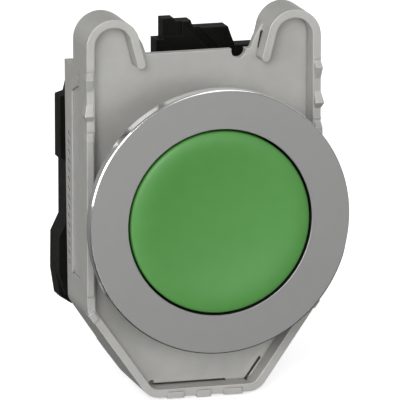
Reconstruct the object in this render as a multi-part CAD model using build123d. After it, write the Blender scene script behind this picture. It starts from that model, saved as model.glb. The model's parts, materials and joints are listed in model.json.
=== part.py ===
from build123d import *
import math
import os

# Flush-mounted industrial push button, 30 mm class, with one normally open contact block.
# Units are millimetres. +Z is up, +X is right seen from the front and +Y runs from the front of the
# panel to its back. The origin is on the button's axis, on the panel's front face.

os.makedirs("parts", exist_ok=True)

# ---- driving dimensions: head -------------------------------------------------------------
BEZEL_RADIUS = 16.35          # outside of the bezel
BEZEL_HOLE_RADIUS = 11.52     # hole that the cap moves in
BEZEL_FRONT = -1.9            # front face of the bezel
BEZEL_BACK = -0.35            # back face of the bezel, on the seal
BEZEL_CHAMFER = 0.24
SPIGOT_RADIUS = 12.4          # sleeve of the bezel inside the barrel
SPIGOT_END = 4.0
SHOULDER_RADIUS = 14.9        # centres the head in a 30.5 mm cut-out
SHOULDER_END = 1.0
BARREL_RADIUS = 13.2
NECK_RADIUS = 12.0            # rear part of the barrel, through the collar
NECK_END = 18.3
CAP_RADIUS = 11.25
CAP_SKIRT_END = 2.6
CAP_INNER_RADIUS = 9.85       # inside of the cap's skirt
CAP_FACE_BACK = 0.2
STEM_RADIUS = 5.45
STEM_END = 16.6
GUIDE_RADIUS = 5.5            # bore that guides the stem
GUIDE_END = 15.2
POCKET_FLOOR = 7.0            # floor of the cap's pocket
WELL_RADIUS = 9.2             # well of the return spring
WELL_FLOOR = 13.0
WELL_FLOOR_THICKNESS = 1.5
GUIDE_TUBE_RADIUS = 7.0       # outside of the tube that guides the stem
GUIDE_TUBE_FRONT = 9.0
REAR_BORE_RADIUS = 10.6       # open rear of the barrel
CARRIER_DISC_BACK = 2.4       # back of the disc behind the cap, where the return spring seats
STEM_BORE_RADIUS = 3.8
STEM_WALL_BACK = 1.6
CLIP_GROOVE_RADIUS = 4.85
CLIP_THICKNESS = 0.6
CLIP_RADIUS = 7.0
SPRING_RADIUS = 8.1
SPRING_WIRE = 0.8
GAP = 0.05                    # running clearance

# ---- driving dimensions: fixing collar ----------------------------------------------------
RIM = 5.28                    # front edge of the collar's wall
PLATE_FRONT = 7.86
PLATE_BACK = 8.9
HALF_WIDTH = 14.75
WALL = 1.0
EAR_X = 11.4                  # centre of the ear's arch
EAR_Z = 20.85
EAR_RADIUS = HALF_WIDTH - EAR_X
EAR_DEPTH = 11.7              # back edge of the wall at the ears
LEG_DEPTH = 10.5              # back edge of the wall at the outside of the ear's inner leg
WALL_DEPTH = 18.1             # furthest back edge of the wall, at the diagonals
LEG_FOOT = (7.85, 18.4)       # lower end of the ear's slanted inner leg
PLATE_TOP = 19.2
CORNER_Z = -11.95             # where the side walls turn into the diagonals
BOTTOM_Z = -23.25
BOTTOM_HALF = 6.72
BOTTOM_CORNER = 2.0
SHOE_X = 3.0                  # clamp screw and pressure shoe
SHOE_Z = -15.5
SHOE_HALF_X = 2.2
SHOE_HALF_Z = 1.7
SHOE_BACK = 12.0
GUIDE_WALL = 1.15             # wall of the shoe's guide box
GUIDE_FLOOR = 13.5
GUIDE_BACK = 14.5
SCREW_RADIUS = 1.5
SCREW_HEAD_RADIUS = 2.6
SCREW_HEAD_HEIGHT = 1.85
DIAGONAL_ANGLE = math.degrees(math.atan2(CORNER_Z - BOTTOM_Z, HALF_WIDTH - BOTTOM_HALF))
RECESS_DEPTH = 0.22           # shallow channel in the outer side of each side wall
RECESS_FRONT = 8.65
RECESS_BACK = 12.4
TICKS = 15                    # grip ticks beside the channel
TICK_Y = 13.9
TICK_TOP = 8.6
TICK_PITCH = 1.15
TOOTH_RISE = 0.42             # how far the teeth stand proud of the wall's front edge

# ---- driving dimensions: rear parts -------------------------------------------------------
LEVER_FRONT = 16.6
LEVER_BACK = 18.2
LEVER_RING_RADIUS = 13.4
HANDLE_BACK = 20.85
WING_FOOT = 4.4               # lower end of the carrier's left wing
HANDLE_TOP = WING_FOOT - GAP
LEVER_CLEAR_RADIUS = 13.3     # nothing on the carrier reaches past this where the lever sweeps
CARRIER_FRONT = 18.4
CARRIER_BACK = 20.85
CARRIER_BORE_RADIUS = 8.0
TOWER_RIGHT = 7.65            # where the carrier's right half starts, beside the block's tower
BLOCK_FRONT = 20.9
BLOCK_STEP = BLOCK_FRONT + 13.45   # rear face of the terminal shoulders
BLOCK_BACK = BLOCK_FRONT + 18.05
BLOCK_LEFT = -1.5
BLOCK_RIGHT = 8.3
BLOCK_WALL = 1.0
BLOCK_X = (BLOCK_LEFT + BLOCK_RIGHT) / 2
SHOULDER_Z = 12.6             # height of the terminal shoulders
CORE_Z = 7.6                  # half height of the block's middle
GROOVE_DEPTH = 0.25           # of the grip grooves and the label field on the block
GROOVE_WIDTH = 0.45
GROOVE_ZS = (-5.4, -3.6, -1.8, 0, 1.8, 3.6, 5.4)
CLAMP_Z = 9.7                 # axis of the terminal screws
CONTACT_Z = 4.0               # where the contact tips meet
TIP_RADIUS = 0.9
STRIP_FRONT = BLOCK_FRONT + 7.45
STRIP_BACK = STRIP_FRONT + 0.8
STRIP_HALF = 1.3              # half width of the contact strips
STRIP_Z = (2.9, 11.0)         # near and far end of each strip
BRIDGE_FRONT = BLOCK_FRONT + 3.55
BRIDGE_BACK = BRIDGE_FRONT + 0.5
WINDOW_FRONT = BLOCK_FRONT + 0.6   # window of the plunger, with the bridge's spring in it
PLUNGER_BACK = BLOCK_FRONT + 9.6
PLUNGER_HALF_X = 2.0
PLUNGER_HALF_Z = 1.9
CAGE_FRONT = BLOCK_FRONT + 4.55
CAGE_BACK = CAGE_FRONT + 5.7
CAGE_WALL = 0.8
CAGE_HALF_X = 2.1
CAGE_Z = (8.5, 10.9)          # near and far side of each cage, from the middle of the block
SCREW_HEAD = BLOCK_FRONT + 11.9    # underside of a terminal screw's head
TERMINAL_RADIUS = 1.1
TERMINAL_HEAD_RADIUS = 1.95
TERMINAL_HEAD_HEIGHT = 1.35
SCREW_WELL_RADIUS = 2.1       # well of a terminal screw's head
WIRE_Y = BLOCK_FRONT + 6.15
WIRE_RADIUS = 1.3


def at(y, x=0.0, z=0.0):
    """A sketch plane that faces the front, at depth y."""
    return Plane((x, y, z), x_dir=(1, 0, 0), z_dir=(0, -1, 0))


def rod(y0, y1, radius, x=0.0, z=0.0):
    """A cylinder along Y from depth y0 to depth y1."""
    return extrude(at(y1, x, z) * Circle(radius), y1 - y0)


def ring(y0, y1, outer, inner, x=0.0, z=0.0):
    return rod(y0, y1, outer, x, z) - rod(y0 - 1, y1 + 1, inner, x, z)


def block(x0, x1, y0, y1, z0, z1):
    centre = Pos((x0 + x1) / 2, (y0 + y1) / 2, (z0 + z1) / 2)
    return centre * Box(x1 - x0, y1 - y0, z1 - z0)


def span(side, near, far):
    """Lowest and highest Z of a stretch that lies above (1) or below (-1) the middle."""
    return sorted((side * near, side * far))


def prism(points, y0, y1):
    """A closed outline of (x, z) points, extruded from depth y0 to depth y1."""
    face = make_face(Polyline(*points, close=True))
    return extrude(at(y1) * face, y1 - y0)


def side_prism(points, x0, x1):
    """A closed outline of (y, z) points, extruded from x0 to x1."""
    plane = Plane((x0, 0, 0), x_dir=(0, 1, 0), z_dir=(1, 0, 0))
    face = make_face(Polyline(*points, close=True))
    return extrude(plane * face, x1 - x0)


def coil(y0, y1, radius, wire, turns, x=0.0, z=0.0):
    """A compression spring along Y that fills the length from y0 to y1."""
    pitch = (y1 - y0 - wire) / turns
    path = Helix(pitch=pitch, height=pitch * turns, radius=radius)
    profile = Plane(origin=path @ 0, z_dir=path % 0) * Circle(wire / 2)
    spring = sweep(profile, path=path, is_frenet=True)
    return Pos(x, y0 + wire / 2, z) * Rot(-90, 0, 0) * spring


def mirrored(shape):
    """The same shape on the other side of the plane X = 0."""
    return mirror(shape, about=Plane.YZ)


def cross_recess(y, radius, depth, x, z):
    """Cutter for a cross recess whose mouth is at depth y and which opens towards +Y."""
    arm = radius * 0.28
    tall = block(x - arm, x + arm, y - depth, y + 1, z - radius * 0.72, z + radius * 0.72)
    wide = block(x - radius * 0.72, x + radius * 0.72, y - depth, y + 1, z - arm, z + arm)
    return tall + wide


# ---- head ---------------------------------------------------------------------------------
def bezel_ring():
    flange = rod(BEZEL_FRONT, BEZEL_BACK, BEZEL_RADIUS)
    flange = chamfer(flange.edges().sort_by(Axis.Y)[0], BEZEL_CHAMFER)
    bezel = flange + rod(BEZEL_BACK, SPIGOT_END, SPIGOT_RADIUS)
    bore = rod(BEZEL_FRONT - 1, SPIGOT_END + 1, BEZEL_HOLE_RADIUS)
    mouth = Pos(0, BEZEL_FRONT, 0) * Rot(-90, 0, 0) * Cone(
        BEZEL_HOLE_RADIUS + 0.12, BEZEL_HOLE_RADIUS - 0.12, 0.24)
    return bezel - bore - mouth


def panel_gasket():
    return ring(BEZEL_BACK, 0, BEZEL_RADIUS - 0.35, SHOULDER_RADIUS)


def head_barrel():
    """Carries the bezel, guides the stem and holds the return spring."""
    body = rod(BEZEL_BACK, SHOULDER_END, SHOULDER_RADIUS)
    body += rod(SHOULDER_END, PLATE_FRONT, BARREL_RADIUS)
    body += rod(PLATE_FRONT, NECK_END, NECK_RADIUS)
    body -= rod(BEZEL_BACK - 1, SPIGOT_END, SPIGOT_RADIUS)
    body -= rod(SPIGOT_END, POCKET_FLOOR, BEZEL_HOLE_RADIUS)
    body -= rod(POCKET_FLOOR, WELL_FLOOR, WELL_RADIUS)
    body -= rod(WELL_FLOOR + WELL_FLOOR_THICKNESS, NECK_END + 1, REAR_BORE_RADIUS)
    body += rod(GUIDE_TUBE_FRONT, GUIDE_END, GUIDE_TUBE_RADIUS)
    return body - rod(0, GUIDE_END + 1, GUIDE_RADIUS)


def push_cap():
    """Hollow cap with a raised rim around a shallow finger dish."""
    front = BEZEL_FRONT
    outline = [
        Spline((0, front + 0.42), (3.5, front + 0.32), (6.9, front), (8.6, front - 0.24),
               tangents=[(1, 0), (1, -0.12)]),
        Spline((8.6, front - 0.24), (10.2, front - 0.2), (CAP_RADIUS - 0.18, front + 0.02),
               (CAP_RADIUS, front + 0.3), tangents=[(1, -0.12), (0, 1)]),
        Polyline((CAP_RADIUS, front + 0.3), (CAP_RADIUS, CAP_SKIRT_END), (CAP_INNER_RADIUS, CAP_SKIRT_END),
                 (CAP_INNER_RADIUS, CAP_FACE_BACK), (0, CAP_FACE_BACK), (0, front + 0.42)),
    ]
    half = make_face(outline)
    return revolve(half, Axis.Y)


def cap_carrier():
    """Disc that holds the cap, and the hollow stem that slides in the barrel."""
    body = rod(CAP_FACE_BACK, CARRIER_DISC_BACK, CAP_INNER_RADIUS)
    body += rod(CARRIER_DISC_BACK, STEM_END, STEM_RADIUS)
    body -= rod(CAP_FACE_BACK, STEM_END - STEM_WALL_BACK, STEM_BORE_RADIUS)
    groove = GUIDE_END + GAP
    return body - ring(groove, groove + CLIP_THICKNESS, STEM_RADIUS + 1, CLIP_GROOVE_RADIUS)


def retaining_clip():
    """Open ring that stops the stem at the back of its guide."""
    front = GUIDE_END + GAP
    back = front + CLIP_THICKNESS
    clip = ring(front, back, CLIP_RADIUS, CLIP_GROOVE_RADIUS + GAP)
    return clip - block(-2.2, 2.2, front - 1, back + 1, 0, CLIP_RADIUS + 1)


def lip_seal():
    """Keeps dust out of the guide; a groove in its front face makes the lip."""
    front = GUIDE_TUBE_FRONT - 1.0
    seal = ring(front, GUIDE_TUBE_FRONT, GUIDE_TUBE_RADIUS, GUIDE_RADIUS)
    return seal - ring(front - 1, front + 0.5, GUIDE_TUBE_RADIUS - 0.3, GUIDE_RADIUS + 0.4)


def return_spring():
    return coil(CARRIER_DISC_BACK, WELL_FLOOR, SPRING_RADIUS, SPRING_WIRE, 5.5)


# ---- fixing collar ------------------------------------------------------------------------
def wall_path():
    """Middle line of the collar's wall, from the foot of one ear round the bottom to the other's."""
    side = HALF_WIDTH - WALL / 2
    bottom = BOTTOM_Z + WALL / 2
    turn = 158
    radius = EAR_RADIUS - WALL / 2
    angle = math.radians(turn)
    lift = (EAR_X + radius * math.cos(angle), EAR_Z + radius * math.sin(angle))
    low = [(side, EAR_Z), (side, CORNER_Z), (BOTTOM_HALF, bottom), (-BOTTOM_HALF, bottom),
           (-side, CORNER_Z), (-side, EAR_Z)]
    ear = Curve() + [Line(LEG_FOOT, lift), CenterArc((EAR_X, EAR_Z), radius, 0, turn)]
    whole = ear + FilletPolyline(*low, radius=BOTTOM_CORNER) + mirror(ear, about=Plane.YZ)
    return Wire(whole.edges())


def collar_side_profile():
    """Side view of the collar: its back edge steps down behind the ears and bulges at the diagonals."""
    back = [(EAR_DEPTH, 25), (EAR_DEPTH, 17.5), (15.8, 17.5), (15.3, 2), (14.7, -11.5), (15.6, -13.4),
            (16.3, -16.4), (16.6, -17.9), (17.6, -18.5), (17.7, -19.6), (16.4, -22.2), (14.0, -22.8),
            (14.0, -25)]
    return side_prism([(RIM - 1, 25)] + back + [(RIM - 1, -25)], -20, 20)


def tooth(z0, crest, z1, reach, foot_rise=0.0):
    """Wedge on the outer front corner of the right wall: highest at its crest, falling to both ends."""
    tip, foot = RIM - TOOTH_RISE, RIM - foot_rise
    side = [(RIM + 1.2, z1), (RIM, z1), (tip, crest), (foot, z0), (RIM + 1.2, z0)]
    edge = HALF_WIDTH
    inner, foot_edge = edge - 0.75, edge + reach * foot_rise / TOOTH_RISE
    front = [(inner, z1), (edge, z1), (edge + reach, crest), (foot_edge, z0), (inner, z0)]
    return side_prism(side, edge - 1, edge + 1) & prism(front, tip - 1, RIM + 2)


def teeth():
    """Catch teeth of one side wall: two short ones above a long one, with a fine rib over two of them."""
    pieces = [tooth(15.5, 16.95, 17.65, 0.15), tooth(11.8, 12.5, 13.9, 0.33),
              tooth(-9.9, 9.5, 10.2, 0.12, foot_rise=TOOTH_RISE)]
    left, right = HALF_WIDTH - 0.9, HALF_WIDTH + 0.03
    for top in (17.65, 10.2):
        pieces.append(block(left, right, RIM - 0.1, RIM + 0.2, top + 0.28, top + 0.46))
    return pieces


def leg_web():
    """Flare that joins the ear's inner leg to the plate's top edge, with a fine groove along the leg."""
    outline = [(9.2, 23.0), (8.7, 19.0), (8.0, 18.2), (5.6, 18.2), (6.18, 18.6), (6.68, 19.4), (7.06, 20.5),
               (7.95, 22.0)]
    groove = [(7.35, 18.8), (7.6, 18.8), (8.1, 21.3), (7.85, 21.3)]
    return prism(outline, PLATE_FRONT, PLATE_BACK) - prism(groove, PLATE_FRONT - 1, PLATE_FRONT + 0.5)


def leg_taper():
    """Cutter that brings the back edge of the ear's inner leg forwards."""
    outline = [(6, LEG_DEPTH), (EAR_X, EAR_DEPTH), (EAR_X, EAR_DEPTH + 2), (6, EAR_DEPTH + 2)]
    face = make_face(Polyline(*outline, close=True))
    return extrude(Pos(0, 0, 17.8) * face, 8)


def side_recess():
    """Cutter for the right wall's outer side: a shallow channel, a short slot above it and grip ticks."""
    x0, x1 = HALF_WIDTH - RECESS_DEPTH, HALF_WIDTH + 1
    channel = [(RECESS_FRONT, -8.6), (RECESS_FRONT, 15.4), (RECESS_FRONT + 1.0, 15.4), (RECESS_BACK, 14.3),
               (RECESS_BACK, -8.6)]
    cutter = side_prism(channel, x0, x1)
    cutter += block(x0, x1, RECESS_FRONT + 0.25, RECESS_FRONT + 0.7, 15.8, 16.9)
    for number in range(TICKS):
        z = TICK_TOP - number * TICK_PITCH
        cutter += Pos(HALF_WIDTH, TICK_Y, z) * Rot(30, 0, 0) * Box(2 * RECESS_DEPTH, 1.0, 0.28)
    return cutter


def plate_slots():
    """Narrow slots along the foot of the plate: one at the bottom wall, one at the right diagonal."""
    front, back = PLATE_FRONT - 1, PLATE_BACK + 1
    foot = BOTTOM_Z + WALL
    slots = block(-5.9, 3.4, front, back, foot, foot + 0.2)
    angle = math.radians(DIAGONAL_ANGLE)
    along, inward = 1.9, WALL + 0.17     # from the corner, and from the outside of the wall
    x = BOTTOM_HALF + along * math.cos(angle) - inward * math.sin(angle)
    z = BOTTOM_Z + along * math.sin(angle) + inward * math.cos(angle)
    slots += Pos(x, PLATE_FRONT + 0.5, z) * Rot(0, -DIAGONAL_ANGLE, 0) * Box(3.4, 3, 0.32)
    return slots + rod(front, back, 0.3, -6.0, foot + 0.3)


def bottom_teeth():
    """Low teeth on the rim of the bottom wall and at the heads of the diagonals."""
    teeth = []
    for x0, x1, reach in ((-4.7, -2.6, 0.14), (-0.9, 0.8, 0.26), (2.5, 4.8, 0.16)):
        teeth.append(block(x0, x1, RIM - 0.18, RIM + 1.4, BOTTOM_Z - reach, BOTTOM_Z + 0.6))
    for side in (-1, 1):
        place = Pos(side * 14.0, RIM + 0.5, CORNER_Z - 0.6) * Rot(0, side * (90 - DIAGONAL_ANGLE), 0)
        teeth.append(place * Box(0.9, 1.4, 1.2))
    return teeth


def fixing_collar():
    """Die-cast collar: a plate in a deep wall, with an arched ear at each upper corner."""
    path = wall_path()
    band = make_face(path.offset_2d(WALL / 2, kind=Kind.ARC))
    wall = extrude(at(RIM) * band, RIM - WALL_DEPTH) & collar_side_profile()
    foot = path @ 0
    closed = make_face([path, Line((foot.X, foot.Y), (-foot.X, foot.Y))])
    floor = extrude(at(PLATE_FRONT) * closed, PLATE_FRONT - PLATE_BACK)
    floor += block(-foot.X, foot.X, PLATE_FRONT, PLATE_BACK, foot.Y - 1, PLATE_TOP)
    half_x, half_z = SHOE_HALF_X + GAP, SHOE_HALF_Z + GAP
    guide = block(SHOE_X - half_x - GUIDE_WALL, SHOE_X + half_x + GUIDE_WALL, PLATE_FRONT + 0.5, GUIDE_BACK,
                  SHOE_Z - half_z - GUIDE_WALL, SHOE_Z + half_z + GUIDE_WALL)
    collar = wall + floor + guide + leg_web() + mirrored(leg_web())
    for piece in bottom_teeth():
        collar += piece
    for piece in teeth():
        collar += piece
        collar += mirrored(piece)
    for cutter in (side_recess(), leg_taper()):
        collar -= cutter + mirrored(cutter)
    collar -= plate_slots()
    collar -= rod(PLATE_FRONT - 2, GUIDE_BACK + 1, NECK_RADIUS + GAP)
    collar -= rod(PLATE_FRONT - 1, PLATE_BACK + 1, 0.9, 5.05, PLATE_TOP - 0.25)
    collar -= block(SHOE_X - half_x, SHOE_X + half_x, RIM, GUIDE_FLOOR, SHOE_Z - half_z, SHOE_Z + half_z)
    return collar - rod(GUIDE_FLOOR - 1, GUIDE_BACK + 1, SCREW_RADIUS + GAP, SHOE_X, SHOE_Z)


def clamp_screw():
    seat = GUIDE_BACK + GAP
    top = seat + SCREW_HEAD_HEIGHT
    screw = rod(6.5, seat, SCREW_RADIUS, SHOE_X, SHOE_Z) + rod(seat, top, SCREW_HEAD_RADIUS, SHOE_X, SHOE_Z)
    return screw - cross_recess(top, SCREW_HEAD_RADIUS, 1.0, SHOE_X, SHOE_Z)


def pressure_shoe():
    """Nut that the clamp screw drives forwards against the back of the panel."""
    body = block(SHOE_X - SHOE_HALF_X, SHOE_X + SHOE_HALF_X, RIM + 0.12, SHOE_BACK,
                 SHOE_Z - SHOE_HALF_Z, SHOE_Z + SHOE_HALF_Z)
    return body - rod(6.4, SHOE_BACK + 1, SCREW_RADIUS + GAP, SHOE_X, SHOE_Z)


# ---- lever and carrier --------------------------------------------------------------------
def locking_lever():
    """Ring on the barrel's neck with a hand lever at its left."""
    edge = [(-13.4, -13.9), (-14.9, -12.9), (-15.4, -9.7), (-15.35, -5.1), (-14.3, -2.9),
            (-14.3, HANDLE_TOP)]
    inner = [(-12.6, HANDLE_TOP), (-12.6, -4.0), (-10.4, -7.8), (-10.8, -12.4), (-14.6, -12.4)]
    arm = prism(inner + edge[2:], LEVER_FRONT, LEVER_BACK)
    handle = prism([(-13.75, HANDLE_TOP), (-13.75, -3.3), (-13.6, -8), (-12.2, -13.9)] + edge,
                   LEVER_BACK, HANDLE_BACK)
    lever = ring(LEVER_FRONT, LEVER_BACK, LEVER_RING_RADIUS, NECK_RADIUS + GAP)
    lever += arm + handle
    return lever - rod(LEVER_FRONT - 1, HANDLE_BACK + 1, NECK_RADIUS + GAP)


def contact_carrier():
    """Plastic frame behind the collar that the contact block clips on, cut clear of the lever's sweep."""
    right = [(TOWER_RIGHT, 17.4), (10.5, 17.4), (13.7, 14.2), (13.7, -9.4), (11.0, -12.2)]
    left = [(-11.0, -12.2), (-13.2, -9.4), (-13.2, WING_FOOT), (-14.7, WING_FOOT), (-14.7, 12.2),
            (-13.7, 12.5), (-12.9, 15.9), (-11.0, 17.4), (-4.0, 17.4), (-2.6, 15.6), (TOWER_RIGHT, 15.6)]
    plate = prism(right + left, CARRIER_FRONT, CARRIER_BACK)
    sweep_zone = block(-20, 0, CARRIER_FRONT - 1, CARRIER_BACK + 1, -20, WING_FOOT)
    plate -= sweep_zone - rod(CARRIER_FRONT - 2, CARRIER_BACK + 2, LEVER_CLEAR_RADIUS)
    for x in (-12.6, 12.6):
        plate += block(x - 1.0, x + 1.0, PLATE_BACK, CARRIER_FRONT, 7.0, 12.0)
    return plate - rod(CARRIER_FRONT - 1, CARRIER_BACK + 1, CARRIER_BORE_RADIUS)


# ---- contact block ------------------------------------------------------------------------
def block_profile(x0, x1):
    """The block's outer shape between two planes: two terminal shoulders and a deeper middle."""
    shoulders = block(x0, x1, BLOCK_FRONT, BLOCK_STEP, -SHOULDER_Z, SHOULDER_Z)
    return shoulders + block(x0, x1, BLOCK_STEP - 1, BLOCK_BACK, -CORE_Z, CORE_Z)


def grip_grooves(x):
    """Cutters for grooves across one side of the block's middle, for the fingers."""
    reach = GROOVE_DEPTH
    front, back, half = BLOCK_STEP + 0.9, BLOCK_BACK - 0.9, GROOVE_WIDTH / 2
    return [block(x - reach, x + reach, front, back, z - half, z + half) for z in GROOVE_ZS]


def terminal_tower():
    """Front end of the block, which stands above the carrier between the collar's ears."""
    right = TOWER_RIGHT - 0.1
    outline = [(-2.45, 15.7), (-2.45, 18.6), (-1.5, 18.6), (-1.5, 21.1), (0, 21.1), (0.2, 20.7),
               (2.15, 20.7), (2.5, 19.8), (6.75, 19.8), (right, 17.6), (right, 15.7)]
    tower = prism(outline, CARRIER_FRONT, BLOCK_FRONT)
    guide = Pos(4.3, CARRIER_FRONT, 17.9) * Rot(0, 45, 0) * Box(7.5, 1.4, 1.1)
    ledge = block(-1.7, 0.9, CARRIER_FRONT - 0.1, CARRIER_FRONT + 0.5, 19.0, 22)
    return tower - guide - ledge


def block_housing():
    """Open on its right side; the terminals are in its upper and lower shoulders."""
    x0, x1 = BLOCK_LEFT, BLOCK_RIGHT - BLOCK_WALL
    inner = x0 + BLOCK_WALL
    body = block_profile(x0, x1)
    inner_z = CORE_Z - BLOCK_WALL
    body -= block(inner, x1 + 1, BLOCK_FRONT + BLOCK_WALL, BLOCK_BACK - BLOCK_WALL, -inner_z, inner_z)
    body += terminal_tower()
    body += block(x0, x1, BLOCK_FRONT, BLOCK_FRONT + 1.2, SHOULDER_Z - 1, 17.0)
    body -= block(x0 + 1.6, x1 - 0.4, BLOCK_BACK - GROOVE_DEPTH, BLOCK_BACK + 1, -5.2, 5.2)
    for groove in grip_grooves(x0):
        body -= groove
    for side in (-1, 1):
        low, high = span(side, CAGE_Z[0] - 0.1, CAGE_Z[1] + 0.3)
        body -= block(inner, x1 + 1, CAGE_FRONT - 0.2, SCREW_HEAD - GAP, low, high)
        low, high = span(side, CORE_Z - 2, CAGE_Z[0])
        body -= block(BLOCK_X - STRIP_HALF - GAP, x1 + 1, STRIP_FRONT, STRIP_BACK, low, high)
        body -= rod(SCREW_HEAD - 1, BLOCK_STEP + 1, SCREW_WELL_RADIUS, BLOCK_X, side * CLAMP_Z)
        body -= Pos(BLOCK_X, WIRE_Y, side * SHOULDER_Z) * Cylinder(WIRE_RADIUS, 4)
    slot_x = PLUNGER_HALF_X + GAP
    slot_z = PLUNGER_HALF_Z + GAP
    front, back = BLOCK_FRONT - 1, BLOCK_FRONT + BLOCK_WALL + 1
    return body - block(BLOCK_X - slot_x, BLOCK_X + slot_x, front, back, -slot_z, slot_z)


def block_side_cover():
    cover = block_profile(BLOCK_RIGHT - BLOCK_WALL, BLOCK_RIGHT)
    for groove in grip_grooves(BLOCK_RIGHT):
        cover -= groove
    return cover


def contact_plunger():
    """Follows the stem; the bridge floats in its window."""
    body = block(BLOCK_X - PLUNGER_HALF_X, BLOCK_X + PLUNGER_HALF_X, STEM_END + GAP, PLUNGER_BACK,
                 -PLUNGER_HALF_Z, PLUNGER_HALF_Z)
    return body - block(BLOCK_X - 1.1, BLOCK_X + 1.1, WINDOW_FRONT, BRIDGE_BACK + GAP, -3, 3)


def contact_bridge():
    return block(BLOCK_X - 1, BLOCK_X + 1, BRIDGE_FRONT, BRIDGE_BACK, -5.2, 5.2)


def contact_tips(front, back):
    return Compound([rod(front, back, TIP_RADIUS, BLOCK_X, z) for z in (-CONTACT_Z, CONTACT_Z)])


def bridge_spring():
    return coil(WINDOW_FRONT, BRIDGE_FRONT, 0.7, 0.25, 4, BLOCK_X)


def plunger_spring():
    return coil(PLUNGER_BACK, BLOCK_BACK - BLOCK_WALL, 1.6, 0.4, 6, BLOCK_X)


def contact_strip(side):
    low, high = span(side, *STRIP_Z)
    return block(BLOCK_X - STRIP_HALF, BLOCK_X + STRIP_HALF, STRIP_FRONT, STRIP_BACK, low, high)


def clamp_cage(side):
    """Square cage that the terminal screw pulls back, so that it grips the wire under the strip."""
    inner = CAGE_HALF_X - 0.7
    low, high = span(side, *CAGE_Z)
    cage = block(BLOCK_X - CAGE_HALF_X, BLOCK_X + CAGE_HALF_X, CAGE_FRONT, CAGE_BACK, low, high)
    cage -= block(BLOCK_X - inner, BLOCK_X + inner, CAGE_FRONT + CAGE_WALL, CAGE_BACK - CAGE_WALL,
                  low - 1, high + 1)
    front = CAGE_BACK - CAGE_WALL - 0.4
    return cage - rod(front, CAGE_BACK + 1, TERMINAL_RADIUS + GAP, BLOCK_X, side * CLAMP_Z)


def terminal_screw(side):
    z = side * CLAMP_Z
    top = SCREW_HEAD + TERMINAL_HEAD_HEIGHT
    screw = rod(STRIP_BACK + GAP, SCREW_HEAD, TERMINAL_RADIUS, BLOCK_X, z)
    screw += rod(SCREW_HEAD, top, TERMINAL_HEAD_RADIUS, BLOCK_X, z)
    return screw - cross_recess(top, TERMINAL_HEAD_RADIUS, 0.7, BLOCK_X, z)


# ---- assembly -----------------------------------------------------------------------------
NODES = {
    "bezel_ring": bezel_ring(),
    "panel_gasket": panel_gasket(),
    "head_barrel": head_barrel(),
    "push_cap": push_cap(),
    "cap_carrier": cap_carrier(),
    "retaining_clip": retaining_clip(),
    "lip_seal": lip_seal(),
    "return_spring": return_spring(),
    "fixing_collar": fixing_collar(),
    "clamp_screw": clamp_screw(),
    "pressure_shoe": pressure_shoe(),
    "locking_lever": locking_lever(),
    "contact_carrier": contact_carrier(),
    "block_housing": block_housing(),
    "block_side_cover": block_side_cover(),
    "contact_plunger": contact_plunger(),
    "contact_bridge": contact_bridge(),
    "bridge_tips": contact_tips(BRIDGE_BACK, BRIDGE_BACK + 0.25),
    "fixed_tips": contact_tips(STRIP_FRONT - 0.5, STRIP_FRONT),
    "bridge_spring": bridge_spring(),
    "plunger_spring": plunger_spring(),
    "upper_contact_strip": contact_strip(1),
    "lower_contact_strip": contact_strip(-1),
    "upper_clamp_cage": clamp_cage(1),
    "lower_clamp_cage": clamp_cage(-1),
    "upper_terminal_screw": terminal_screw(1),
    "lower_terminal_screw": terminal_screw(-1),
}

for name, shape in NODES.items():
    export_step(shape, f"parts/{name}.step")
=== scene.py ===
import bmesh
import bpy
import json
import math
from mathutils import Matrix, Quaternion, Vector

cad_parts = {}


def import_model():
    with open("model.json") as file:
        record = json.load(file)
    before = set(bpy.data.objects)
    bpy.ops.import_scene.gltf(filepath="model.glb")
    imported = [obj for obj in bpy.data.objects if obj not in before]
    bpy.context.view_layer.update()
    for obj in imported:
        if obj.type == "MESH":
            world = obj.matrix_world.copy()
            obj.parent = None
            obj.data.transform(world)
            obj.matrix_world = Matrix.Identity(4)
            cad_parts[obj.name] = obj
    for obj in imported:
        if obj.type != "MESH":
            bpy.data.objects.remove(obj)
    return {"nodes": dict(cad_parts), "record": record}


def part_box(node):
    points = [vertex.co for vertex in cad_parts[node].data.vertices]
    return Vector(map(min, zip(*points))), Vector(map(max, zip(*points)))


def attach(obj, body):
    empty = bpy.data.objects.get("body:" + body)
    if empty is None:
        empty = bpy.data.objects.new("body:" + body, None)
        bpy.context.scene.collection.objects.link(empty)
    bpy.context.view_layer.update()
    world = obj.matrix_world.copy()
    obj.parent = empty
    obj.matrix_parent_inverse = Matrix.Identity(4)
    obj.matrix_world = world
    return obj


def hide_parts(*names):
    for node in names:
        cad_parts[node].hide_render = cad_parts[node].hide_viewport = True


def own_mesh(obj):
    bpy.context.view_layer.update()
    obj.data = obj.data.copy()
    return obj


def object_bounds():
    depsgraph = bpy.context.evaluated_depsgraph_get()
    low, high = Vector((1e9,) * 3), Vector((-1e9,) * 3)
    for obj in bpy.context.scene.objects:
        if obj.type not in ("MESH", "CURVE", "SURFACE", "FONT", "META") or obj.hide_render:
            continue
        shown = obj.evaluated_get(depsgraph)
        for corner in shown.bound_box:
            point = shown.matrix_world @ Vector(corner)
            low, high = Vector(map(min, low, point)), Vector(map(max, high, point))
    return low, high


# Finish, light and camera for an industrial push button. Metres, in the CAD frame: +Z up, and +Y from
# the front of the panel to its back, along the button's axis. The origin is on that axis.

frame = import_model()
NODES = frame["nodes"]
CAD_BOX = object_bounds()
RECORD = frame["record"]
SLOT_OF = {part["node"]: part["material_slot"] for part in RECORD["subparts"]}
BODY_OF = {node: body for body, nodes in RECORD["behaviour"]["bodies"].items() for node in nodes}
MM = 0.001


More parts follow.
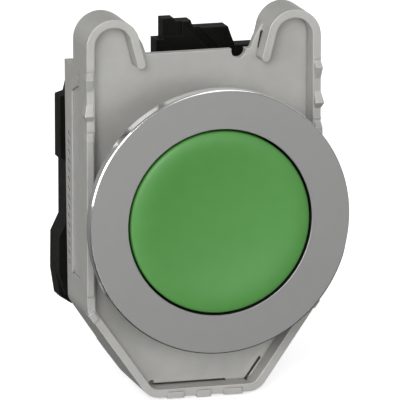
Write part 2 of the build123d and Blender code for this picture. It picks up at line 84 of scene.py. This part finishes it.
# ---- materials ------------------------------------------------------------------------------
MIDDLE = (0.3, 0.7)           # where most of a noise's values lie
EDGE_SAMPLES = 6
SHELTER_REACH = 3             # how far the occlusion behind the painted crevice shade reaches, in edge radii
EDGE_GAIN = 9.0               # makes a full mask of the small turn of the normal at an edge
OPEN_POWER = 2.0              # keeps that mask off inner edges
WEAR_AND_HIGHLIGHT_RANGE = (0.35, 0.85)     # share of the lighter edge colour, wear and painted highlight, that shows, from patch to patch
WEAR_AND_HIGHLIGHT_PATCH, GLOSS_PATCH = 1.7, 2.3          # noise scales of the edge wear and painted highlight and of the gloss, against that of the tone
WAVE_SIZE, WAVE_DEPTH, WAVE_STRENGTH = 12, 2, 0.5     # soft waves under the grain, against the grain


def noise(tree, scale, detail=3.0, stretch=(1, 1, 1)):
    """Noise over the object's own coordinates; scale is in cells per metre."""
    place = tree.nodes.new("ShaderNodeTexCoord")
    mapping = tree.nodes.new("ShaderNodeMapping")
    mapping.inputs["Scale"].default_value = stretch
    texture = tree.nodes.new("ShaderNodeTexNoise")
    texture.inputs["Scale"].default_value = scale
    texture.inputs["Detail"].default_value = detail
    tree.links.new(place.outputs["Object"], mapping.inputs["Vector"])
    tree.links.new(mapping.outputs["Vector"], texture.inputs["Vector"])
    return texture.outputs["Fac"]


def spread(tree, factor, low, high):
    """Maps the middle of a factor's range to the range from low to high."""
    node = tree.nodes.new("ShaderNodeMapRange")
    node.inputs["From Min"].default_value, node.inputs["From Max"].default_value = MIDDLE
    node.inputs["To Min"].default_value = low
    node.inputs["To Max"].default_value = high
    tree.links.new(factor, node.inputs["Value"])
    return node.outputs["Result"]


def feed(tree, socket, given):
    """Sets a socket to a number or colour, or links it to another socket."""
    if isinstance(given, bpy.types.NodeSocket):
        tree.links.new(given, socket)
    else:
        socket.default_value = given


def shade(tree, factor, dark, light):
    """A colour between dark and light, each a colour or a socket."""
    node = tree.nodes.new("ShaderNodeMix")
    node.data_type = "RGBA"
    for name, given in (("A", dark), ("B", light)):
        socket = next(i for i in node.inputs if i.name == name and i.type == "RGBA")
        feed(tree, socket, (*given, 1) if isinstance(given, tuple) else given)
    tree.links.new(factor, node.inputs["Factor"])
    return next(o for o in node.outputs if o.type == "RGBA")


def calculated(tree, operation, first, second):
    """A calculation on two numbers or sockets, held between 0 and 1."""
    node = tree.nodes.new("ShaderNodeMath")
    node.operation = operation
    node.use_clamp = True
    feed(tree, node.inputs[0], first)
    feed(tree, node.inputs[1], second)
    return node.outputs[0]


def bump(tree, height, depth, strength=1.0, under=None):
    """The normal of a surface with a relief, on top of another normal if one is given."""
    node = tree.nodes.new("ShaderNodeBump")
    node.inputs["Distance"].default_value = depth
    node.inputs["Strength"].default_value = strength
    tree.links.new(height, node.inputs["Height"])
    if under is not None:
        tree.links.new(under, node.inputs["Normal"])
    return node.outputs["Normal"]


def rounding(tree, radius):
    """The normal with its edges rounded, how near an outer edge a point is, and how open its surroundings."""
    rounder = tree.nodes.new("ShaderNodeBevel")
    rounder.samples = EDGE_SAMPLES
    rounder.inputs["Radius"].default_value = radius
    geometry = tree.nodes.new("ShaderNodeNewGeometry")
    turn = tree.nodes.new("ShaderNodeVectorMath")
    turn.operation = "DOT_PRODUCT"
    tree.links.new(rounder.outputs["Normal"], turn.inputs[0])
    tree.links.new(geometry.outputs["Normal"], turn.inputs[1])
    shelter = tree.nodes.new("ShaderNodeAmbientOcclusion")
    shelter.samples = EDGE_SAMPLES
    shelter.only_local = True
    shelter.inputs["Distance"].default_value = SHELTER_REACH * radius
    openness = shelter.outputs["AO"]
    edge = calculated(tree, "MULTIPLY", calculated(tree, "SUBTRACT", 1.0, turn.outputs["Value"]), EDGE_GAIN)
    outer = calculated(tree, "MULTIPLY", edge, calculated(tree, "POWER", openness, OPEN_POWER))
    return rounder.outputs["Normal"], outer, openness


def finish(name, colour, metallic, roughness, vary=0.06, patch=500, grain=6000, depth=0.006 * MM,
           rough_vary=0.05, edge_wear_and_highlight=None, stretch=(1, 1, 1), specular=0.5, edge=None, crevice_shade=0.75):
    """A surface with patches of tone and gloss and a fine grain. Where an edge radius is given, its edges are
    softened and its crevices darkened with painted shade, and where an edge colour is given too, outer edges
    take it on as wear and painted highlight."""
    material = bpy.data.materials.new(name)
    material.use_nodes = True
    tree = material.node_tree
    shader = tree.nodes["Principled BSDF"]
    shader.inputs["Metallic"].default_value = metallic
    shader.inputs["Specular IOR Level"].default_value = specular
    dark = tuple(c * (1 - vary) for c in colour)
    light = tuple(min(c * (1 + vary), 1) for c in colour)
    tone = shade(tree, spread(tree, noise(tree, patch), 0, 1), dark, light)
    under = None
    if edge is not None:
        under, outer, openness = rounding(tree, edge)
        # painted shade: the colour darkens in crevices and recesses where the surroundings are closed in
        painted_crevice_colour = tuple(c * crevice_shade for c in colour)
        tone = shade(tree, spread(tree, openness, 0, 1), painted_crevice_colour, tone)
        # edge wear and painted highlight: outer edges take a lighter colour
        if edge_wear_and_highlight is not None:
            wear_and_highlight_patches = spread(tree, noise(tree, patch * WEAR_AND_HIGHLIGHT_PATCH), *WEAR_AND_HIGHLIGHT_RANGE)
            tone = shade(tree, calculated(tree, "MULTIPLY", outer, wear_and_highlight_patches), tone, edge_wear_and_highlight)
    tree.links.new(tone, shader.inputs["Base Color"])
    gloss = spread(tree, noise(tree, patch * GLOSS_PATCH), roughness - rough_vary, roughness + rough_vary)
    tree.links.new(gloss, shader.inputs["Roughness"])
    waves = bump(tree, noise(tree, grain / WAVE_SIZE), depth * WAVE_DEPTH, strength=WAVE_STRENGTH, under=under)
    fine = noise(tree, grain, detail=2.0, stretch=stretch)
    tree.links.new(bump(tree, fine, depth, under=waves), shader.inputs["Normal"])
    return material


MATERIALS = {
    "bezel_metal": finish("bezel_satin", (0.435, 0.435, 0.43), 1.0, 0.45, vary=0.01, grain=9000,
                          depth=0.002 * MM, rough_vary=0.012),
    "polished": finish("bezel_polished", (0.86, 0.86, 0.86), 1.0, 0.09, vary=0.02, patch=300, grain=2500,
                       depth=0.001 * MM, rough_vary=0.03),
    "seal_rubber": finish("seal_rubber", (0.012, 0.012, 0.012), 0.0, 0.75, vary=0.15, specular=0.3,
                          edge=0.08 * MM),
    "black_plastic": finish("black_plastic", (0.0058, 0.0058, 0.0052), 0.0, 0.46, vary=0.18, grain=5000,
                            depth=0.012 * MM, edge_wear_and_highlight=(0.030, 0.030, 0.027), specular=0.07, edge=0.16 * MM),
    "cap_plastic": finish("cap_plastic", (0.080, 0.260, 0.060), 0.0, 0.40, vary=0.02, grain=7000,
                          depth=0.004 * MM, specular=0.35),
    "plunger_plastic": finish("plunger_plastic", (0.05, 0.20, 0.045), 0.0, 0.45, vary=0.05, edge=0.12 * MM),
    "die_cast_metal": finish("die_cast_metal", (0.478, 0.474, 0.450), 0.30, 0.42, vary=0.035, grain=4200,
                             depth=0.010 * MM, edge_wear_and_highlight=(0.66, 0.655, 0.63), edge=0.17 * MM, crevice_shade=0.06),
    "spring_steel": finish("spring_steel", (0.56, 0.56, 0.57), 1.0, 0.24, vary=0.05, patch=900,
                           stretch=(1, 6, 1)),
    "zinc_steel": finish("zinc_steel", (0.58, 0.60, 0.63), 1.0, 0.30, vary=0.06, patch=900,
                         edge_wear_and_highlight=(0.80, 0.80, 0.80), edge=0.08 * MM),
    "contact_brass": finish("contact_brass", (0.70, 0.48, 0.20), 1.0, 0.30, vary=0.07, patch=900,
                            stretch=(1, 1, 0.1), edge=0.06 * MM),
    "tip_silver": finish("tip_silver", (0.82, 0.81, 0.78), 1.0, 0.26, vary=0.04, patch=1500, edge=0.06 * MM),
}


# ---- meshes of the new pieces ---------------------------------------------------------------
SHARP = math.radians(36)      # faces that meet at more than this have a hard edge
STRAIGHT = math.radians(165)  # a corner of an outline that is flatter than this is not rounded
CORNER_SHARE = 0.45           # the most that a rounded corner takes of a side


def smooth_group():
    """Geometry nodes that shade every face smooth except across edges sharper than SHARP."""
    group = bpy.data.node_groups.new("shade_by_angle", "GeometryNodeTree")
    group.interface.new_socket("Geometry", in_out="INPUT", socket_type="NodeSocketGeometry")
    group.interface.new_socket("Geometry", in_out="OUTPUT", socket_type="NodeSocketGeometry")
    start = group.nodes.new("NodeGroupInput")
    end = group.nodes.new("NodeGroupOutput")
    faces = group.nodes.new("GeometryNodeSetShadeSmooth")
    edges = group.nodes.new("GeometryNodeSetShadeSmooth")
    edges.domain = "EDGE"
    edges.inputs["Shade Smooth"].default_value = False
    angle = group.nodes.new("GeometryNodeInputMeshEdgeAngle")
    sharp = group.nodes.new("FunctionNodeCompare")
    sharp.operation = "GREATER_THAN"
    sharp.inputs[1].default_value = SHARP
    group.links.new(start.outputs[0], faces.inputs["Geometry"])
    group.links.new(faces.outputs["Geometry"], edges.inputs["Geometry"])
    group.links.new(angle.outputs["Unsigned Angle"], sharp.inputs[0])
    group.links.new(sharp.outputs[0], edges.inputs["Selection"])
    group.links.new(edges.outputs["Geometry"], end.inputs[0])
    return group


SMOOTH = smooth_group()


def shade_by_angle(piece):
    """Smooth shading between hard edges, with normals that follow the larger faces."""
    shading = piece.modifiers.new("shading", "NODES")
    shading.node_group = SMOOTH
    normals = piece.modifiers.new("normals", "WEIGHTED_NORMAL")
    normals.keep_sharp = True
    normals.weight = 60


def mesh_piece(name, build):
    """A mesh object made by a function that fills a bmesh."""
    bm = bmesh.new()
    build(bm)
    bmesh.ops.recalc_face_normals(bm, faces=bm.faces)
    data = bpy.data.meshes.new(name)
    bm.to_mesh(data)
    bm.free()
    piece = bpy.data.objects.new(name, data)
    bpy.context.scene.collection.objects.link(piece)
    return piece


def stand_for(piece, node, body):
    """The piece takes the place and finish of a CAD node, and rides on a body."""
    slot = SLOT_OF[node]
    if not piece.data.materials:
        piece.data.materials.append(MATERIALS[slot])
    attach(piece, body)
    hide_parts(node)


def rounded(points, radius, steps):
    """A closed outline with its corners replaced by curves of about that radius, or less on short sides."""
    result = []
    count = len(points)
    for i in range(count):
        before, here, after = (Vector(points[(i + k) % count]) for k in (-1, 0, 1))
        a, b = before - here, after - here
        turn = a.angle(b)
        if turn > STRAIGHT:
            result.append(here)
            continue
        cut = min(radius / math.tan(turn / 2), CORNER_SHARE * min(a.length, b.length))
        start, end = here + a.normalized() * cut, here + b.normalized() * cut
        for k in range(steps + 1):
            t = k / steps
            result.append(start * (1 - t) ** 2 + here * 2 * t * (1 - t) + end * t * t)
    return result


def through(points, steps=8):
    """A smooth curve through the points, as a list."""
    points = [Vector(point) for point in points]
    ends = [2 * points[0] - points[1]] + points + [2 * points[-1] - points[-2]]
    curve = []
    for before, start, end, after in zip(ends, ends[1:], ends[2:], ends[3:]):
        linear = end - before
        square = 2 * before - 5 * start + 4 * end - after
        cubic = 3 * start - before - 3 * end + after
        for k in range(steps):
            t = k / steps
            curve.append(0.5 * (2 * start + linear * t + square * t * t + cubic * t ** 3))
    return curve + [points[-1]]


def turned(name, outline, segments=256):
    """A solid of revolution about the button's axis from a closed outline of (radius, depth)."""
    def build(bm):
        rings = []
        for k in range(segments):
            angle = 2 * math.pi * k / segments
            c, s = math.cos(angle), math.sin(angle)
            rings.append([bm.verts.new((r * c, y, r * s)) for r, y in outline])
        for k in range(segments):
            this, following = rings[k], rings[(k + 1) % segments]
            for i in range(len(outline)):
                j = (i + 1) % len(outline)
                bm.faces.new((this[i], this[j], following[j], following[i]))
    piece = mesh_piece(name, build)
    shade_by_angle(piece)
    return piece


def swept(bm, line, axis, radius, sides=12):
    """A round wire along a line of points that winds about an axis, closed at its ends."""
    rings = []
    last = len(line) - 1
    for i, here in enumerate(line):
        along = (line[min(i + 1, last)] - line[max(i - 1, 0)]).normalized()
        out = Vector((here.x - axis.x, 0, here.z - axis.z)).normalized()
        up = along.cross(out).normalized()
        out = up.cross(along)
        rings.append([bm.verts.new(here + radius * (math.cos(a) * out + math.sin(a) * up))
                      for a in (2 * math.pi * k / sides for k in range(sides))])
    for this, following in zip(rings, rings[1:]):
        for k in range(sides):
            m = (k + 1) % sides
            bm.faces.new((this[k], this[m], following[m], following[k]))
    bm.faces.new(rings[0])
    bm.faces.new(rings[-1])


# ---- bezel ----------------------------------------------------------------------------------
FRONT_CHAMFER = 0.17 * MM
HOLE_RADIUS, HOLE_CHAMFER = 11.52 * MM, 0.06 * MM
SLEEVE_RADIUS = 12.4 * MM
SHARP_RADIUS = 0.03 * MM      # of the bezel's sharpest edges
HOLE_SHADE_REACH, RIM_REACH = 0.01 * MM, 0.1 * MM         # of the black rubber painted as shade on the hole's wall, and of the satin round the hole
FACE_DEPTH, FACE_SQUARE = 0.02 * MM, 0.95   # how near the front, and how square to the axis, a satin face is
SATIN, POLISHED, HOLE_SHADE = range(3)


def bezel_finish(face, front):
    """Which of the bezel's materials a face has."""
    reach = Vector((face.center.x, face.center.z)).length
    on_face = face.center.y < front + FACE_DEPTH and abs(face.normal.y) > FACE_SQUARE
    # painted shade: the wall of the hole takes black rubber, standing for the shade in the gap round the cap
    if reach < HOLE_RADIUS + HOLE_SHADE_REACH:
        return HOLE_SHADE
    return SATIN if on_face or reach < HOLE_RADIUS + RIM_REACH else POLISHED


def bezel_piece():
    """Bezel with a satin front face, polished chamfer and side, black rubber on the wall of its hole as
    painted shade, and its sleeve.
    """
    low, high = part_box("bezel_ring")
    radius, front, end = high.x, low.y, high.y
    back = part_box("panel_gasket")[0].y
    outline = [(radius - FRONT_CHAMFER, front), (radius, front + FRONT_CHAMFER), (radius, back),
               (SLEEVE_RADIUS, back), (SLEEVE_RADIUS, end), (HOLE_RADIUS, end),
               (HOLE_RADIUS, front + HOLE_CHAMFER), (HOLE_RADIUS + HOLE_CHAMFER, front)]
    piece = turned("bezel_turned", rounded(outline, SHARP_RADIUS, steps=3))
    for slot in ("bezel_metal", "polished", "seal_rubber"):     # in the order of SATIN, POLISHED, HOLE_SHADE, the black rubber painted as shade in the hole
        piece.data.materials.append(MATERIALS[slot])
    for face in piece.data.polygons:
        face.material_index = bezel_finish(face, front)
    stand_for(piece, "bezel_ring", BODY_OF["bezel_ring"])


# ---- cap ------------------------------------------------------------------------------------
CROWN = [(0, 0.46), (1.8, 0.44), (3.6, 0.37), (5.4, 0.23), (7.0, 0.05), (8.3, -0.12), (9.2, -0.21),
         (9.9, -0.23), (10.5, -0.18), (10.87, -0.10), (11.1, 0), (11.2, 0.13)]   # (radius, depth) in mm
SIDE_FROM = 0.3 * MM          # depth where the straight side begins; depths are from the bezel's face
SKIRT_CHAMFER = 0.1 * MM


def cap_piece():
    """Moulded cap: a raised rim, round at its outer edge, about a shallow finger dish."""
    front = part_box("bezel_ring")[0].y
    low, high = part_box("push_cap")
    radius, skirt = high.x, high.y
    low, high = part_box("cap_carrier")
    inner, face_back = high.x, low.y
    outline = through([(r * MM, front + y * MM) for r, y in CROWN])
    outline += [Vector((radius, front + SIDE_FROM)), Vector((radius, skirt - SKIRT_CHAMFER)),
                Vector((radius - SKIRT_CHAMFER, skirt)), Vector((inner, skirt)), Vector((inner, face_back)),
                Vector((0, face_back))]
    stand_for(turned("cap_moulded", outline), "push_cap", BODY_OF["push_cap"])


# ---- springs --------------------------------------------------------------------------------
def spring_piece(node, wire, active, body, steps=40):
    """Compression spring with closed end coils in the space of its CAD node. It rides on the body that
    holds its back end."""
    low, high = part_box(node)
    axis = (low + high) / 2
    radius = (high.x - low.x - wire) / 2
    turns = active + 2
    rise = high.y - low.y - wire
    line = []
    for k in range(turns * steps + 1):
        turn = k / steps
        closed = min(turn, 1) + max(turn - turns + 1, 0)
        y = low.y + wire / 2 + closed * wire + (turn - closed) * (rise - 2 * wire) / active
        angle = 2 * math.pi * turn
        line.append(Vector((axis.x + radius * math.cos(angle), y, axis.z + radius * math.sin(angle))))
    piece = mesh_piece(node + "_coil", lambda bm: swept(bm, line, axis, wire / 2))
    shade_by_angle(piece)
    stand_for(piece, node, body)
    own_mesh(piece)


bezel_piece()
cap_piece()
spring_piece("return_spring", 0.8 * MM, 4, "head")
spring_piece("plunger_spring", 0.4 * MM, 4, "head")
spring_piece("bridge_spring", 0.25 * MM, 2,
             "bridge")
for node, part in NODES.items():
    part.data.materials.clear()
    part.data.materials.append(MATERIALS[SLOT_OF[node]])


# ---- floor, light and camera ----------------------------------------------------------------
FLOOR_SIZE = 6
FLOOR_GAP = 0.05 * MM         # between the object and the floor
FLOOR_GREY, FLOOR_GLOW = 0.9, 0.55
GROUND_FROM, WALLS_FROM = -0.55, -0.02      # sine of the elevation between which the ground turns into wall
GROUND_LIGHT, WALL_LIGHT = 0.08, 0.30
LIGHTS = [                    # name, place, width, height, power, and turn in degrees
    ("front_softbox", (-0.36, -0.85, 0.36), 0.35, 0.35, 5.0, 0),
    ("front_fill", (0.05, -1.1, 0.14), 0.9, 0.28, 2.4, 0),
    ("low_fill", (-0.45, -0.75, -0.50), 0.6, 0.4, 1.8, 0),
    ("left_softbox", (-0.90, -0.40, 0.25), 0.6, 0.5, 2.5, 0),
    ("upper_left_strip", (-0.90, -0.42, 0.66), 0.18, 0.5, 0.5, -20),
    ("overhead_strip", (0.13, -0.30, 1.0), 2.2, 0.2, 1.7, 11),
    ("back_right_softbox", (0.85, 0.75, 0.50), 0.7, 0.7, 4.2, 0),
    ("back_left_softbox", (-0.70, 0.75, 0.60), 0.5, 0.5, 0.9, 0),
    ("back_low_softbox", (0.78, 0.72, -0.20), 0.9, 0.5, 2.2, 0),
]
EYE = (-0.23093, -0.80719, 0.19745)
EYE_AZIMUTH, EYE_ELEVATION = 15.8312, 13.0802     # degrees
LENS = 641.3                  # mm


def floor():
    """Plain pale floor just below the object. It casts no shadow, so the low lights reach the object."""
    def build(bm):
        bmesh.ops.create_grid(bm, x_segments=8, y_segments=8, size=FLOOR_SIZE)
    piece = mesh_piece("floor", build)
    piece.location.z = CAD_BOX[0].z - FLOOR_GAP
    material = bpy.data.materials.new("floor_paint")
    material.use_nodes = True
    shader = material.node_tree.nodes["Principled BSDF"]
    shader.inputs["Base Color"].default_value = (FLOOR_GREY, FLOOR_GREY, FLOOR_GREY, 1)
    shader.inputs["Roughness"].default_value = 0.9
    shader.inputs["Specular IOR Level"].default_value = 0.1
    shader.inputs["Emission Color"].default_value = (1, 1, 1, 1)
    shader.inputs["Emission Strength"].default_value = FLOOR_GLOW
    piece.data.materials.append(material)
    piece.visible_diffuse = False
    piece.visible_glossy = False
    piece.visible_shadow = False


def softbox(name, place, width, height, power, turn):
    """A white area light that faces the origin, turned about the direction of its light."""
    light = bpy.data.lights.new(name, "AREA")
    light.shape = "RECTANGLE"
    light.size, light.size_y = width, height
    light.energy = power
    lamp = bpy.data.objects.new(name, light)
    lamp.location = place
    facing = (-Vector(place)).to_track_quat("-Z", "Y")
    lamp.rotation_euler = (facing @ Quaternion((0, 0, 1), math.radians(turn))).to_euler()
    bpy.context.scene.collection.objects.link(lamp)


def world():
    """White studio walls and ceiling that fall off to a dimmer ground below the horizon."""
    scene_world = bpy.data.worlds.new("studio")
    scene_world.use_nodes = True
    tree = scene_world.node_tree
    back = tree.nodes["Background"]
    place = tree.nodes.new("ShaderNodeTexCoord")
    split = tree.nodes.new("ShaderNodeSeparateXYZ")
    height = tree.nodes.new("ShaderNodeMapRange")
    height.inputs["From Min"].default_value = GROUND_FROM
    height.inputs["From Max"].default_value = WALLS_FROM
    height.inputs["To Min"].default_value = GROUND_LIGHT
    height.inputs["To Max"].default_value = WALL_LIGHT
    tree.links.new(place.outputs["Generated"], split.inputs["Vector"])
    tree.links.new(split.outputs["Z"], height.inputs["Value"])
    tree.links.new(height.outputs["Result"], back.inputs["Strength"])
    back.inputs["Color"].default_value = (1, 1, 1, 1)
    bpy.context.scene.world = scene_world


def camera():
    """A long lens at the photo's viewing angle."""
    data = bpy.data.cameras.new("camera")
    data.sensor_width = 36
    data.lens = LENS
    data.clip_start, data.clip_end = 0.05, 20
    eye = bpy.data.objects.new("camera", data)
    eye.location = EYE
    eye.rotation_euler = (math.radians(90 - EYE_ELEVATION), 0, -math.radians(EYE_AZIMUTH))
    bpy.context.scene.collection.objects.link(eye)
    bpy.context.scene.camera = eye


floor()
world()
for setting in LIGHTS:
    softbox(*setting)
camera()
bpy.context.scene.view_settings.view_transform = "Standard"
